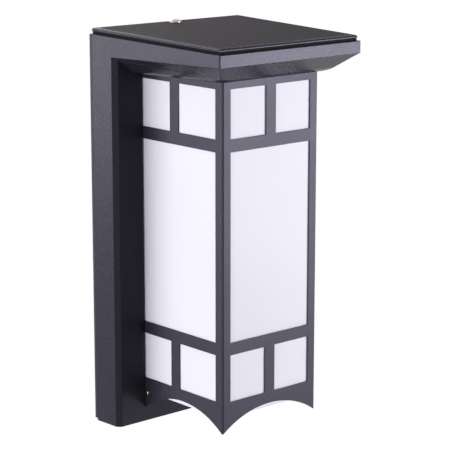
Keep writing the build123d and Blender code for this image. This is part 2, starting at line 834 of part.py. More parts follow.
# Wall plate: shallow pan whose rim meets the wall, with a foot flange and two hooks under the lid's bridge
plate_half = half_width(rear_depth) - plate_inset
plate_low = foot + plate_foot_inset
plate_top = roof_height(rear_depth) - plate_inset
flange_low = foot + wall + hook_gap
hook_top = roof_height(rear_depth + plate_hook_depth) + bridge_low - hook_gap
wall_holes = [
    (x * wall_hole_spacing_x / 2, z * wall_hole_spacing_z / 2) for x in (-1, 1) for z in (-1, 1)
]
terminal_middle = cable_height - terminal_drop
terminal_point = (0, terminal_middle)
ground_point = (0, terminal_middle - ground_drop)
with BuildPart() as wall_plate:
    with BuildSketch(Plane.XZ):
        with Locations((0, (plate_low + plate_top) / 2)):
            Rectangle(2 * plate_half, plate_top - plate_low)
    extrude(amount=rear_depth)
    with BuildSketch(Plane.XZ):
        with Locations((0, (plate_low + plate_top) / 2)):
            Rectangle(2 * (plate_half - plate_rim), plate_top - plate_low - 2 * plate_rim)
    extrude(amount=gasket_thickness, mode=Mode.SUBTRACT)
    with BuildSketch(Plane.XZ.offset(rear_depth)):
        with Locations((0, flange_low + plate_thickness / 2)):
            Rectangle(plate_flange_width, plate_thickness)
        with Locations(*[(side * plate_hook_offset, hook_top - plate_thickness / 2) for side in (-1, 1)]):
            Rectangle(plate_hook_width, plate_thickness)
    extrude(amount=plate_hook_depth)
    with BuildSketch(Plane.XZ.offset(gasket_thickness)):
        with Locations(*wall_holes):
            Circle(wall_hole_radius)
        with Locations((0, cable_height)):
            Circle(grommet_hole_radius)
        with Locations(terminal_point, ground_point):
            Circle(m3_radius + screw_play)
    extrude(amount=plate_thickness, mode=Mode.SUBTRACT)
    with BuildSketch(Plane.XY.offset(flange_low)):
        with Locations(*housing_screw_points):
            Circle(m4_radius + screw_play)
    extrude(amount=plate_thickness, mode=Mode.SUBTRACT)
save(wall_plate, "wall_plate")

screw_set(
    "housing_screws",
    [Plane((x, y, foot), z_dir=(0, 0, -1)).location for x, y in housing_screw_points],
    pan_screw,
    m4_radius,
    wall + hook_gap + 2 * plate_thickness,
    m4_head_radius,
    m4_head_height,
)

# Foam seal on the wall, cleared round the holes
gasket_inset = plate_rim + gasket_play
gasket_hole = 2 * (wall_hole_radius + gasket_hole_margin)
gasket_window = 2 * (grommet_hole_radius + gasket_hole_margin)
with BuildPart() as wall_gasket:
    with BuildSketch(Plane.XZ):
        with Locations((0, (plate_low + plate_top) / 2)):
            Rectangle(2 * (plate_half - gasket_inset), plate_top - plate_low - 2 * gasket_inset)
        with Locations(*wall_holes):
            Rectangle(gasket_hole, gasket_hole, mode=Mode.SUBTRACT)
        with Locations((0, cable_height)):
            Rectangle(gasket_window, gasket_window, mode=Mode.SUBTRACT)
    extrude(amount=gasket_thickness)
save(wall_gasket, "wall_gasket")

# Rubber bush that the supply cable comes in through, pushed into the plate from the front
with BuildPart() as cable_grommet:
    with BuildSketch(Plane.XZ.offset(gasket_thickness)):
        with Locations((0, cable_height)):
            Circle(grommet_hole_radius - screw_play)
    extrude(amount=plate_thickness)
    with BuildSketch(Plane.XZ.offset(rear_depth)):
        with Locations((0, cable_height)):
            Circle(grommet_hole_radius + grommet_lip)
    extrude(amount=grommet_lip_thickness)
    with BuildSketch(Plane.XZ.offset(gasket_thickness)):
        with Locations((0, cable_height)):
            Circle(grommet_bore_radius)
    extrude(amount=plate_thickness + grommet_lip_thickness, mode=Mode.SUBTRACT)
save(cable_grommet, "cable_grommet")

# Terminal block on the wall plate
with BuildPart() as terminal_block:
    with BuildSketch(Plane.XZ.offset(rear_depth)):
        with Locations((0, terminal_middle)):
            Rectangle(terminal_length, terminal_width)
    extrude(amount=terminal_thickness)
    chamfer(terminal_block.faces().sort_by(Axis.Y)[0].edges(), terminal_chamfer)
    with BuildSketch(Plane.XY.offset(terminal_middle)):
        with Locations((0, -rear_depth - terminal_thickness / 2)):
            with GridLocations(terminal_length / terminal_poles, 1, terminal_poles, 1):
                Rectangle(terminal_entry, terminal_entry)
    extrude(amount=terminal_width, both=True, mode=Mode.SUBTRACT)
    with BuildSketch(Plane.XZ.offset(rear_depth)):
        with Locations(terminal_point):
            Circle(m3_radius + screw_play)
    extrude(amount=terminal_thickness, mode=Mode.SUBTRACT)
save(terminal_block, "terminal_block")

screw_set(
    "terminal_block_screw",
    facing_room([terminal_point], rear_depth + terminal_thickness),
    hex_screw,
    m3_radius,
    terminal_thickness + plate_thickness,
    m3_head_radius,
    m3_head_height,
)
screw_set(
    "ground_screw",
    facing_room([ground_point], rear_depth),
    hex_screw,
    m3_radius,
    plate_thickness,
    m3_head_radius,
    m3_head_height,
)

# Leads from the terminal block to the driver, and from the driver to the boards
driver_rear = driver_depth - driver_width / 2
driver_foot = soffit_height(driver_rear) + wall
supply_depth = rear_depth + terminal_thickness / 2
supply_level = driver_foot + supply_lead_level
output_depth = (rear_depth + supply_depth) / 2
output_level = driver_foot + output_lead_level
terminal_top = terminal_middle + terminal_width / 2


def eased(points):
    """Points of a run whose square corners are each cut by a short slanting stretch."""
    route = [points[0]]
    for before, corner, after in zip(points, points[1:], points[2:]):
        for other in (before, after):
            toward = (Vector(*other) - Vector(*corner)).normalized()
            eased_point = Vector(*corner) + toward * lead_bend
            route.append((eased_point.X, eased_point.Y))
    return route + [points[-1]]


def driver_face(level):
    """Depth of the driver's leaning rear face where the top of a lead at a level meets it."""
    return driver_rear - (wall + level + lead_radius) * sin(radians(soffit_rise))


lead_runs = {
    "supply_leads": (
        terminal_length / terminal_poles / 2,
        [
            (-supply_depth, terminal_top - lead_entry),
            (-supply_depth, supply_level),
            (-driver_face(supply_lead_level), supply_level),
        ],
    ),
    "output_leads": (
        board_spacing / 2,
        [
            (-driver_face(output_lead_level), output_level),
            (-output_depth, output_level),
            (-output_depth, lead_height),
            (-tray_floor, lead_height),
        ],
    ),
}
for name, (across, points) in lead_runs.items():
    with BuildPart() as leads:
        for side in (-1, 1):
            with BuildLine(Plane.YZ.offset(side * across)) as run:
                Polyline(*eased(points))
            with BuildSketch(Plane(run.line @ 0, z_dir=run.line % 0)):
                RegularPolygon(lead_radius, lead_sides)
            sweep(path=run.line, transition=Transition.RIGHT)
    save(leads, name)
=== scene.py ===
"""Outdoor wall light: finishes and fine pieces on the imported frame.

Lengths are metres, and angles in fields are degrees. The origin is the middle of the back, on the wall.
+X is to the right of someone who faces the light, +Z is up, and the light stands out from the wall
along -Y.
"""

import json
import logging
import math
from contextlib import contextmanager
from dataclasses import dataclass, field
from enum import Enum
from typing import Any, Callable, Iterator, Optional, Union

import bmesh
import bpy
from mathutils import Matrix, Vector


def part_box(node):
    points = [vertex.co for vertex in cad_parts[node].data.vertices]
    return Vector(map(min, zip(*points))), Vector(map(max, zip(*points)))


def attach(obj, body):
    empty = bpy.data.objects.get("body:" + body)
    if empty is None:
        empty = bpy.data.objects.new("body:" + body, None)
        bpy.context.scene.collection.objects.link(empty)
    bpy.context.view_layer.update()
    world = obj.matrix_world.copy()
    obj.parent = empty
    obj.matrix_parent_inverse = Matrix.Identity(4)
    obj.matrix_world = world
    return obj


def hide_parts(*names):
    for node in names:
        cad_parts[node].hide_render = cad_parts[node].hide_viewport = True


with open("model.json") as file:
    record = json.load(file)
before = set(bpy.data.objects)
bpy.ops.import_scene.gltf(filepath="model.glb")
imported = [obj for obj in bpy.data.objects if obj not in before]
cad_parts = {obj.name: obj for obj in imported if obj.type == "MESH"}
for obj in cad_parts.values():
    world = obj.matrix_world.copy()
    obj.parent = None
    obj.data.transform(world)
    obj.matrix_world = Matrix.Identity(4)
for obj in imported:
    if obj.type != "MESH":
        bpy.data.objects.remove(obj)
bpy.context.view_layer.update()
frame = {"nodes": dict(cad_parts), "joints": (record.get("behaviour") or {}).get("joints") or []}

log = logging.getLogger("wall_light")

MILLIMETRE = 0.001
# Distance within which two places count as one.
NEAR = 0.01 * MILLIMETRE
# Faces and edges smaller than this are closed up after a bevel.
SLIVER = 0.005 * MILLIMETRE
# Least part of a normal along an axis for a face to look that way.
FACING = 0.5
# Degrees by which the limit for smooth shading lies above the limit for rounding.
SHADING_MARGIN = 6.0
# How strongly large faces pull the normals of the rounding beside them.
FLAT_FACE_WEIGHT = 80
QUARTER_TURN = math.pi / 2
CENTRE = (0.0, 0.0, 0.0)
WHITE = (1.0, 1.0, 1.0)
# Middle of a noise or a mask, which run from zero to one.
MIDDLE = 0.5
# Sockets of a Mix node that mixes colours.
MIX_FACTOR = 0
MIX_FIRST = 6
MIX_SECOND = 7
MIX_RESULT = 2

Colour = tuple[float, float, float]
Rgba = tuple[float, float, float, float]
Place = tuple[float, float, float]
Number = Union[float, "Socket"]
Test = Callable[[Any], bool]


class Body(Enum):
    """Bodies of the frame that pieces ride on."""

    HOUSING = "housing"
    LID = "lid"
    LID_SCREW = "lid_screw"


class Slot(Enum):
    """Material slots of the record that new pieces belong to."""

    HOUSING_PAINT = "housing_paint"
    LID_PAINT = "lid_paint"
    FRAME_PAINT = "frame_paint"
    PLATE_PAINT = "plate_paint"
    BRIGHT_SCREW = "bright_screw"
    BLACK_SCREW = "black_screw"
    DRIVER_CASE = "driver_case"
    SEAL = "seal"
    LEAD = "lead"


class Part(Enum):
    """Parts of a mesh that can be picked in edit mode."""

    CORNERS = "VERT"
    EDGES = "EDGE"
    FACES = "FACE"


class Socket:
    """Output of a shader node. Arithmetic on it adds Math nodes to its tree."""

    def __init__(self, tree: bpy.types.NodeTree, output: bpy.types.NodeSocket) -> None:
        """Keeps the output and the tree that it belongs to."""
        self.tree = tree
        self.output = output

    def _math(self, operation: str, first: Number, second: Number) -> "Socket":
        """Adds one Math node.

        Args:
            operation: Name of the Math node's operation.
            first: Number or output for the first input.
            second: Number or output for the second input.

        Returns:
            The node's result.
        """
        node = self.tree.nodes.new("ShaderNodeMath")
        node.operation = operation
        for target, value in zip(node.inputs, (first, second)):
            if isinstance(value, Socket):
                self.tree.links.new(value.output, target)
            else:
                target.default_value = value
        return Socket(self.tree, node.outputs[0])

    def __add__(self, other: Number) -> "Socket":
        """Sum of this output and another value."""
        return self._math("ADD", self, other)

    def __radd__(self, other: Number) -> "Socket":
        """Sum of another value and this output."""
        return self._math("ADD", other, self)

    def __sub__(self, other: Number) -> "Socket":
        """This output less another value."""
        return self._math("SUBTRACT", self, other)

    def __rsub__(self, other: Number) -> "Socket":
        """Another value less this output."""
        return self._math("SUBTRACT", other, self)

    def __mul__(self, other: Number) -> "Socket":
        """Product of this output and another value."""
        return self._math("MULTIPLY", self, other)

    def __rmul__(self, other: Number) -> "Socket":
        """Product of another value and this output."""
        return self._math("MULTIPLY", other, self)

    def __gt__(self, other: Number) -> "Socket":
        """One where this output is above another value, and zero elsewhere."""
        return self._math("GREATER_THAN", self, other)


class Recipe:
    """Node tree of one material or world, written node by node."""

    def __init__(self, tree: bpy.types.NodeTree) -> None:
        """Starts from an empty tree."""
        self.tree = tree
        tree.nodes.clear()

    def node(
        self,
        kind: str,
        settings: Optional[dict[str, Any]] = None,
        inputs: Optional[dict[Union[str, int], Any]] = None,
        output: Union[str, int] = 0,
    ) -> Socket:
        """Adds any node.

        Args:
            kind: Type name of the node.
            settings: Properties of the node, which are set first.
            inputs: Values or outputs for the node's sockets.
            output: Name or number of the socket to return.

        Returns:
            The chosen output, which is empty for a node that has none.
        """
        made = self.tree.nodes.new(kind)
        for name, value in (settings or {}).items():
            setattr(made, name, value)
        for name, value in (inputs or {}).items():
            if isinstance(value, Socket):
                self.tree.links.new(value.output, made.inputs[name])
            else:
                made.inputs[name].default_value = value
        return Socket(self.tree, made.outputs[output] if made.outputs else None)

    def place(self) -> Socket:
        """Object coordinates of the surface."""
        return self.node("ShaderNodeTexCoord", output="Object")

    def noise(self, size: float, detail: float = 2.0, stretch: Optional[Place] = None) -> Socket:
        """Adds soft noise in object space.

        Args:
            size: Width of one patch.
            detail: How many finer layers are added.
            stretch: Scale of each axis, for noise with a direction.

        Returns:
            A value about one half, between zero and one.
        """
        place = self.place()
        if stretch:
            place = self.node("ShaderNodeMapping", inputs={"Vector": place, "Scale": stretch})
        inputs = {"Vector": place, "Scale": 1 / size, "Detail": detail}
        return self.node("ShaderNodeTexNoise", inputs=inputs)

    def blend(self, factor: Number, first: Union[Rgba, Socket], second: Rgba) -> Socket:
        """Mixes two colours by a factor."""
        inputs = {MIX_FACTOR: factor, MIX_FIRST: first, MIX_SECOND: second}
        return self.node("ShaderNodeMix", {"data_type": "RGBA"}, inputs, output=MIX_RESULT)

    def bump(self, height: Socket, depth: float) -> Socket:
        """Normal of a surface that a height map raises by a depth."""
        return self.node("ShaderNodeBump", inputs={"Distance": depth, "Height": height})


def opaque(colour: Colour) -> Rgba:
    """Colour with full opacity."""
    return (*colour, 1.0)


def scaled(colour: Colour, share: float) -> Colour:
    """Colour made lighter or darker by a share."""
    return tuple(min(1.0, part * share) for part in colour)


@dataclass(frozen=True)
class Finish:
    """What every finish has: a name, a colour and a gloss."""

    name: str
    colour: Colour
    roughness: float
    specular: float = 0.5
    sheen: Colour = WHITE

    def material(self) -> bpy.types.Material:
        """Makes the material of this finish on the first call.

        Returns:
            The material, which later calls share.
        """
        found = bpy.data.materials.get(self.name)
        if found:
            return found
        made = bpy.data.materials.new(self.name)
        made.use_nodes = True
        recipe = Recipe(made.node_tree)
        gloss = {"Specular IOR Level": self.specular, "Specular Tint": opaque(self.sheen)}
        shader = recipe.node("ShaderNodeBsdfPrincipled", inputs={**gloss, **self.surface(recipe)})
        recipe.node("ShaderNodeOutputMaterial", inputs={"Surface": shader})
        return made

    def surface(self, recipe: Recipe) -> dict[str, Any]:
        """Inputs of the shader that each kind of finish gives."""
        raise NotImplementedError

    def tones(self, share: float) -> tuple[Rgba, Rgba]:
        """Tones that are darker and lighter than the colour by a share."""
        return opaque(scaled(self.colour, 1 - share)), opaque(scaled(self.colour, 1 + share))


@dataclass(frozen=True)
class Paint(Finish):
    """Satin or textured paint, with a fine peel, small spots and a slow drift of tone and gloss."""

    peel_size: float = 0.9 * MILLIMETRE
    peel_depth: float = 0.09 * MILLIMETRE
    grain_size: float = 0.35 * MILLIMETRE
    grain_depth: float = 0.03 * MILLIMETRE
    spot_size: float = 1.7 * MILLIMETRE
    drift_size: float = 60.0 * MILLIMETRE
    contrast: float = 0.4
    drift_share: float = 0.2
    grain_share: float = 0.1
    spot_share: float = 0.7
    drift_gloss: float = 0.1
    spot_gloss: float = 0.16

    def surface(self, recipe: Recipe) -> dict[str, Any]:
        """Varies tone and gloss in spots, and raises the peel.

        Args:
            recipe: Node tree of the material.

        Returns:
            Inputs of the shader.
        """
        drift = recipe.noise(self.drift_size, detail=3.0)
        grain = recipe.noise(self.grain_size, detail=1.0)
        peel = recipe.noise(self.peel_size, detail=1.0)
        spot = recipe.noise(self.spot_size, detail=1.0)
        tone = drift * self.drift_share + grain * self.grain_share + spot * self.spot_share
        dull = (drift - MIDDLE) * self.drift_gloss + (spot - MIDDLE) * self.spot_gloss
        height = peel * self.peel_depth + grain * self.grain_depth
        return {
            "Base Color": recipe.blend(tone, *self.tones(self.contrast)),
            "Roughness": self.roughness + dull,
            "Normal": recipe.bump(height, 1.0),
        }


@dataclass(frozen=True)
class Opal(Finish):
    """Milky acrylic sheet with a soft gloss."""

    cloud: Colour = (0.675, 0.665, 0.755)
    cloud_size: float = 45.0 * MILLIMETRE
    cloud_share: float = 0.5
    cloud_gloss: float = 0.06
    ripple_size: float = 12.0 * MILLIMETRE
    ripple_depth: float = 0.01 * MILLIMETRE

    def surface(self, recipe: Recipe) -> dict[str, Any]:
        """Clouds the sheet and gives its face a slight ripple.

        Args:
            recipe: Node tree of the material.

        Returns:
            Inputs of the shader.
        """
        cloud = recipe.noise(self.cloud_size)
        ripple = recipe.noise(self.ripple_size, detail=1.0)
        milk = recipe.blend(cloud * self.cloud_share, opaque(self.colour), opaque(self.cloud))
        return {
            "Base Color": milk,
            "Roughness": self.roughness + (cloud - MIDDLE) * self.cloud_gloss,
            "Normal": recipe.bump(ripple, self.ripple_depth),
        }


@dataclass(frozen=True)
class Metal(Finish):
    """Plated or bare metal with crystal patches and fine scratches."""

    patch_size: float = 4.0 * MILLIMETRE
    patch_share: float = 0.15
    patch_gloss: float = 0.1
    scratch_size: float = 0.6 * MILLIMETRE
    scratch_depth: float = 0.004 * MILLIMETRE
    scratch_gloss: float = 0.12
    scratch_stretch: Place = (1.0, 0.08, 1.0)

    def surface(self, recipe: Recipe) -> dict[str, Any]:
        """Varies the metal by patches, and scratches it along Y.

        Args:
            recipe: Node tree of the material.

        Returns:
            Inputs of the shader.
        """
        inputs = {"Vector": recipe.place(), "Scale": 1 / self.patch_size}
        patches = recipe.node("ShaderNodeTexVoronoi", inputs=inputs, output="Color")
        tone = recipe.node("ShaderNodeSeparateColor", inputs={0: patches})
        scratches = recipe.noise(self.scratch_size, stretch=self.scratch_stretch)
        dull = (tone - MIDDLE) * self.patch_gloss + (scratches - MIDDLE) * self.scratch_gloss
        return {
            "Base Color": recipe.blend(tone, *self.tones(self.patch_share)),
            "Metallic": 1.0,
            "Roughness": self.roughness + dull,
            "Normal": recipe.bump(scratches, self.scratch_depth),
        }


@dataclass(frozen=True)
class Moulded(Finish):
    """Moulded plastic, rubber or foam, with grain and pores that are darkened with painted shade."""

    grain_size: float = 0.8 * MILLIMETRE
    grain_depth: float = 0.03 * MILLIMETRE
    grain_gloss: float = 0.15
    drift_size: float = 30.0 * MILLIMETRE
    contrast: float = 0.15
    pores: float = 0.0
    pore_level: float = 0.58
    # Share of the colour left in the pores, which paints shade into them.
    pore_shade: float = 0.4

    def surface(self, recipe: Recipe) -> dict[str, Any]:
        """Varies the tone slowly, sinks pores into the grain, and paints shade into the pores by
        darkening them.

        Args:
            recipe: Node tree of the material.

        Returns:
            Inputs of the shader.
        """
        grain = recipe.noise(self.grain_size)
        drift = recipe.noise(self.drift_size)
        holes = (grain > self.pore_level) * self.pores
        dark, light = self.tones(self.contrast)
        # Pores take a darker colour: painted shade in the holes.
        painted_pore_shade = opaque(scaled(self.colour, self.pore_shade))
        return {
            "Base Color": recipe.blend(holes, recipe.blend(drift, dark, light), painted_pore_shade),
            "Roughness": self.roughness + (grain - MIDDLE) * self.grain_gloss,
            "Normal": recipe.bump(grain - holes, self.grain_depth),
        }


COOL_SHEEN = (0.785, 0.715, 1.0)
HOUSING_PAINT = Paint("housing_charcoal_paint", (0.016, 0.0148, 0.023), 0.28, 0.215, COOL_SHEEN)
# Darker, duller copy of the housing paint for the front of the box: painted shade where the lantern
# shades it.
FRONT_SHADE_PAINT = Paint("box_front_painted_shade", (0.014, 0.014, 0.019), 0.45, 0.11, COOL_SHEEN)
FRAME_PAINT = Paint(
    "lantern_charcoal_paint", (0.019, 0.0176, 0.027), 0.44, 0.302, COOL_SHEEN, contrast=0.8
)
LID_PAINT = Paint(
    "lid_textured_paint",
    (0.062, 0.053, 0.065),
    0.62,
    0.02,
    peel_size=1.4 * MILLIMETRE,
    peel_depth=0.14 * MILLIMETRE,
    grain_size=0.5 * MILLIMETRE,
    grain_depth=0.06 * MILLIMETRE,
    spot_size=2.6 * MILLIMETRE,
    contrast=0.85,
)
WHITE_PAINT = Paint("tray_white_paint", (0.82, 0.82, 0.80), 0.45, contrast=0.03)
OPAL_PANE = Opal("opal_acrylic", (0.705, 0.695, 0.785), 0.22, 0.06)
BRIGHT_METAL = Metal("nickel_plate", (0.42, 0.375, 0.35), 0.15, patch_share=0.05)
DULL_METAL = Metal("dull_nickel_plate", (0.30, 0.29, 0.29), 0.3, patch_share=0.05)
ZINC_SHEET = Metal("zinc_plated_sheet", (0.55, 0.56, 0.58), 0.34)
ZINC_SCREW = Metal("zinc_plated_screw", (0.60, 0.60, 0.60), 0.28, patch_share=0.05)
BLACK_SCREW = Metal("black_oxide_steel", (0.06, 0.06, 0.065), 0.38, patch_share=0.1)
BRASS = Metal("ground_screw_brass", (0.75, 0.56, 0.25), 0.25, patch_share=0.05)
BOARD = Moulded("board_solder_mask", (0.75, 0.76, 0.74), 0.35, grain_size=2.0 * MILLIMETRE)
PHOSPHOR = Moulded("led_phosphor", (0.82, 0.66, 0.16), 0.4, grain_size=0.4 * MILLIMETRE)
DRIVER_CASE = Moulded("driver_case_plastic", (0.55, 0.55, 0.53), 0.5)
FOAM = Moulded("seal_foam", (0.028, 0.028, 0.030), 0.85, grain_size=1.2 * MILLIMETRE, pores=0.8)
RUBBER = Moulded("bush_rubber", (0.022, 0.022, 0.023), 0.6)
SEAL_RUBBER = Moulded("lid_seal_rubber", (0.009, 0.009, 0.011), 0.7, 0.06)
TERMINAL = Moulded("terminal_nylon", (0.72, 0.70, 0.62), 0.42)
RED_LEAD = Moulded("red_lead_insulation", (0.50, 0.035, 0.03), 0.38)
BLACK_LEAD = Moulded("black_lead_insulation", (0.02, 0.02, 0.022), 0.38)


def pick(*pieces: bpy.types.Object) -> None:
    """Selects some pieces alone.

    Args:
        pieces: The pieces, of which the first one becomes active.
    """
    bpy.ops.object.select_all(action="DESELECT")
    for piece in pieces:
        piece.select_set(True)
    bpy.context.view_layer.objects.active = pieces[0]


@contextmanager
def editing(piece: bpy.types.Object) -> Iterator[None]:
    """Opens a piece in edit mode with all of it selected, and closes it again.

    Args:
        piece: The piece to work on.

    Returns:
        A context in which mesh operators act on the piece.
    """
    pick(piece)
    bpy.ops.object.mode_set(mode="EDIT")
    bpy.ops.mesh.select_all(action="SELECT")
    yield
    bpy.ops.object.mode_set(mode="OBJECT")


def choose(piece: bpy.types.Object, part: Part, test: Test) -> None:
    """Selects the corners, edges or faces of an open piece that pass a test, and nothing else.

    Args:
        piece: A piece that is open in edit mode.
        part: Whether corners, edges or faces are picked.
        test: Says of one item whether it is picked.
    """
    bpy.ops.mesh.select_mode(type=part.value)
    bpy.ops.mesh.select_all(action="DESELECT")
    mesh = bmesh.from_edit_mesh(piece.data)
    items = {Part.CORNERS: mesh.verts, Part.EDGES: mesh.edges, Part.FACES: mesh.faces}
    for item in items[part]:
        item.select_set(test(item))
    bmesh.update_edit_mesh(piece.data)


def level_edges(height: float) -> Test:
    """Test for edges that lie at one height."""
    return lambda edge: all(abs(vertex.co.z - height) < NEAR for vertex in edge.verts)


def bevel_level(piece: bpy.types.Object, height: float, width: float, steps: int) -> None:
    """Bevels the edges of a piece that lie at one height.

    Args:
        piece: The piece to work on.
        height: Height of the edges.
        width: Width of the bevel.
        steps: How many faces make up the bevel.
    """
    with editing(piece):
        choose(piece, Part.EDGES, level_edges(height))
        bpy.ops.mesh.bevel(offset=width, segments=steps, affect="EDGES")


def work(piece: bpy.types.Object, kind: str, **settings: Any) -> None:
    """Adds one modifier to a piece and applies it.

    Args:
        piece: The piece to work on.
        kind: Type name of the modifier.
        settings: Properties of the modifier.
    """
    pick(piece)
    bpy.ops.object.modifier_add(type=kind)
    modifier = piece.modifiers[-1]
    for name, value in settings.items():
        setattr(modifier, name, value)
    bpy.ops.object.modifier_apply(modifier=modifier.name)


def settle(piece: bpy.types.Object) -> None:
    """Moves a piece's place, turn and scale into its mesh."""
    pick(piece)
    bpy.ops.object.transform_apply(location=True, rotation=True, scale=True)


def add_rod(radius: float, low: float, high: float, sides: int) -> bpy.types.Object:
    """Adds an upright round rod on the Z axis.

    Args:
        radius: Radius of the rod.
        low: Height of its lower end.
        high: Height of its upper end.
        sides: How many flat sides stand for the round.

    Returns:
        The rod.
    """
    bpy.ops.mesh.primitive_cylinder_add(vertices=sides, radius=radius, depth=high - low)
    rod = bpy.context.object
    rod.location.z = (low + high) / 2
    settle(rod)
    return rod


def join(name: str, pieces: list[bpy.types.Object]) -> bpy.types.Object:
    """Makes several meshes one piece.

    Args:
        name: Name of the piece.
        pieces: The meshes, of which the first one stays.

    Returns:
        The joined piece.
    """
    pick(*pieces)
    bpy.ops.object.join()
    pieces[0].name = name
    return pieces[0]


def smooth(piece: bpy.types.Object, angle: float) -> None:
    """Shades a piece smooth, but for edges that turn by more than an angle."""
    pick(piece)
    bpy.ops.object.shade_smooth_by_angle(angle=math.radians(angle))


def copy_node(node: str) -> bpy.types.Object:
    """Copies a CAD node into a new piece with one closed skin.

    Args:
        node: Name of the CAD node.

    Returns:
        The copy, which is named after the node.
    """
    piece = bpy.data.objects.new(f"{node}_skin", frame["nodes"][node].data.copy())
    bpy.context.scene.collection.objects.link(piece)
    pick(piece)
    bpy.ops.mesh.customdata_custom_splitnormals_clear()
    with editing(piece):
        bpy.ops.mesh.remove_doubles(threshold=NEAR)
        bpy.ops.mesh.normals_make_consistent(inside=False)
    return piece


def long_ridges(crease: float, length: float) -> Test:
    """Makes a test for the long outside edges of a piece.

    Args:
        crease: Least angle by which such an edge turns.
        length: Least length of such an edge.

    Returns:
        A test for one edge.
    """

    def is_ridge(edge: Any) -> bool:
        """Whether one edge is such a ridge."""
        turn = edge.calc_face_angle_signed(0.0)
        return turn > math.radians(crease) and edge.calc_length() > length

    return is_ridge


def round_edges(
    piece: bpy.types.Object,
    radius: float,
    steps: int = 2,
    crease: float = 32.0,
    length: float = 4.0 * MILLIMETRE,
) -> None:
    """Rounds a piece's long outside edges and shades it.

    Args:
        piece: The piece to work on.
        radius: Radius of the rounding.
        steps: How many faces make up the rounding.
        crease: Least angle of an edge that is rounded.
        length: Least length of an edge that is rounded.
    """
    with editing(piece):
        choose(piece, Part.EDGES, long_ridges(crease, length))
        bpy.ops.mesh.bevel(offset=radius, segments=steps, affect="EDGES", loop_slide=False)
        bpy.ops.mesh.select_all(action="SELECT")
        bpy.ops.mesh.dissolve_degenerate(threshold=SLIVER)
    smooth(piece, crease + SHADING_MARGIN)
    work(piece, "WEIGHTED_NORMAL", keep_sharp=True, weight=FLAT_FACE_WEIGHT)


def cover(piece: bpy.types.Object, material: bpy.types.Material) -> None:
    """Puts one material on all of a piece.

    Args:
        piece: The piece to cover.
        material: What goes on every material slot of it.
    """
    if not piece.material_slots:
        piece.data.materials.append(None)
    for slot in piece.material_slots:
        slot.material = material


def dress(piece: bpy.types.Object, finish: Finish) -> None:
    """Puts a finish on all of a piece."""
    cover(piece, finish.material())


def paint_faces(piece: bpy.types.Object, main_finish: Finish, other: Finish, test: Test) -> None:
    """Puts one finish on a piece and another on some of its faces.

    Args:
        piece: The piece to paint.
        main_finish: Finish of most faces.
        other: Finish of the faces that pass the test.
        test: Says of one face whether it takes the other finish.
    """
    piece.data.materials.clear()
    for finish in (main_finish, other):
        piece.data.materials.append(finish.material())
    for face in piece.data.polygons:
        face.material_index = int(test(face))


def dress_nodes(finish: Finish, *names: str) -> None:
    """Puts a finish on CAD nodes that keep their own shape.

    Args:
        finish: The finish.
        names: Names of the CAD nodes.
    """
    for name in names:
        dress(frame["nodes"][name], finish)
        log.info("%s: %s", name, finish.name)


def fit(piece: bpy.types.Object, body: Body, slot: Slot, *nodes: str) -> None:
    """Puts a new piece in the place of CAD nodes.

    Args:
        piece: The new piece.
        body: Body that it rides on.
        slot: Material slot of the record that it belongs to; not used.
        nodes: CAD nodes that it stands for.
    """
    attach(piece, body.value)
    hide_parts(*nodes)
    log.info("%s: stands for %s", piece.name, ", ".join(nodes))


